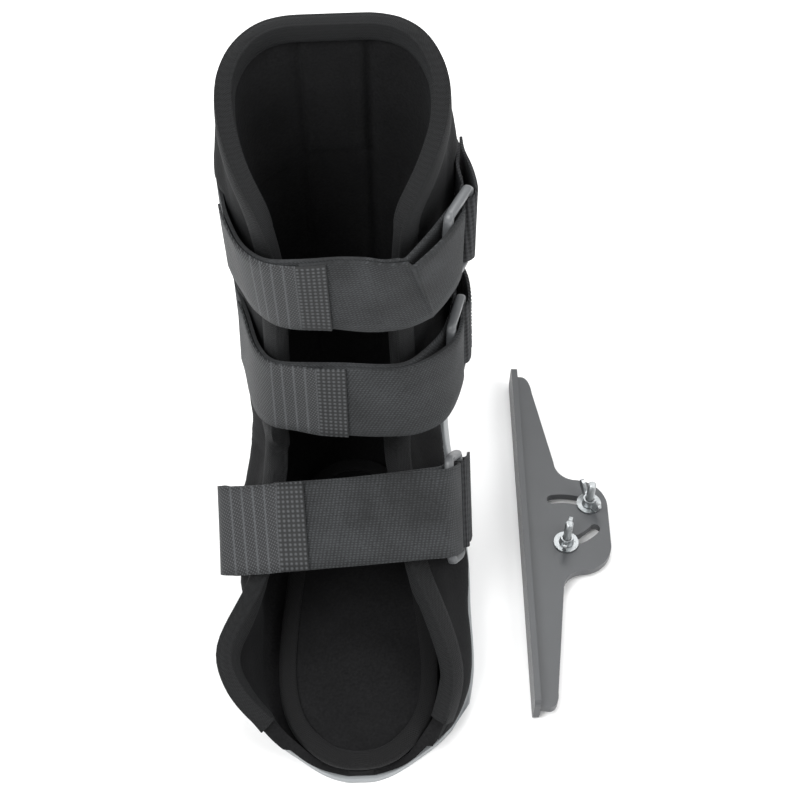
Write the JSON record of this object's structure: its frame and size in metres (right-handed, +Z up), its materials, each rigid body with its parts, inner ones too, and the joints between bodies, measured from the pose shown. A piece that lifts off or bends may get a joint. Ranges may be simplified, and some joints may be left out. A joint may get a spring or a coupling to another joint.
{
  "type": "foot drop splint",
  "caption": "Padded boot-shaped splint that holds foot and ankle at a right angle, closed by hook-and-loop straps, with a T-section derotation bar laid beside it",
  "frame": {"origin": "on the flat underside of the shell's sole, in the middle of the boot's width, level with the front of the shin", "axes": "+Z up, the toe towards -Y, the calf's back towards +Y, +X to the side where the bar lies; the sole lies on z = 0"},
  "size_m": [0.2323, 0.2793, 0.3413],
  "materials": {
    "shell": "smooth moulded polypropylene, light grey",
    "bar": "moulded nylon, mid grey",
    "padding": "knitted loop fabric over foam, black",
    "edge_tape": "ribbed woven binding, charcoal",
    "webbing": "brushed loop webbing, dark grey",
    "hook": "woven hook tape, dark grey",
    "ring": "moulded acetal, grey",
    "zinc": "bright zinc plate"
  },
  "bodies": {
    "splint": {"shell": "shell", "liner": "padding", "liner_edge_tape": "edge_tape", "footbed": "padding", "footbed_edge_tape": "edge_tape", "derotation_bar": "bar", "top_strap": "webbing", "top_hook_tape": "hook", "top_webbing": "webbing", "top_ring": "ring", "middle_strap": "webbing", "middle_hook_tape": "hook", "middle_webbing": "webbing", "middle_ring": "ring", "instep_strap": "webbing", "instep_hook_tape": "hook", "instep_webbing": "webbing", "instep_ring": "ring"},
    "upper_bolt": {"upper_screw": "zinc", "upper_washer": "zinc"},
    "upper_nut": {"upper_wing_nut": "zinc"},
    "lower_bolt": {"lower_screw": "zinc", "lower_washer": "zinc"},
    "lower_nut": {"lower_wing_nut": "zinc"}
  },
  "joints": [
    {"name": "upper_slot_travel", "type": "hinge", "parent": "splint", "child": "upper_bolt", "pos_m": [0.12443, -0.05, 0.00781], "axis": [0.0744, 0, 0.9972], "range_deg": [0, 40]},
    {"name": "lower_slot_travel", "type": "hinge", "parent": "splint", "child": "lower_bolt", "pos_m": [0.11795, -0.0182, 0.00829], "axis": [0.0744, 0, 0.9972], "range_deg": [0, 38]},
    {"name": "upper_nut_spin", "type": "hinge", "parent": "upper_bolt", "child": "upper_nut", "pos_m": [0.14014, -0.02157, 0.00664], "axis": [0.0744, 0, 0.9972], "continuous": true},
    {"name": "lower_nut_spin", "type": "hinge", "parent": "lower_bolt", "child": "lower_nut", "pos_m": [0.12446, -0.05004, 0.00781], "axis": [0.0744, 0, 0.9972], "continuous": true}
  ]
}
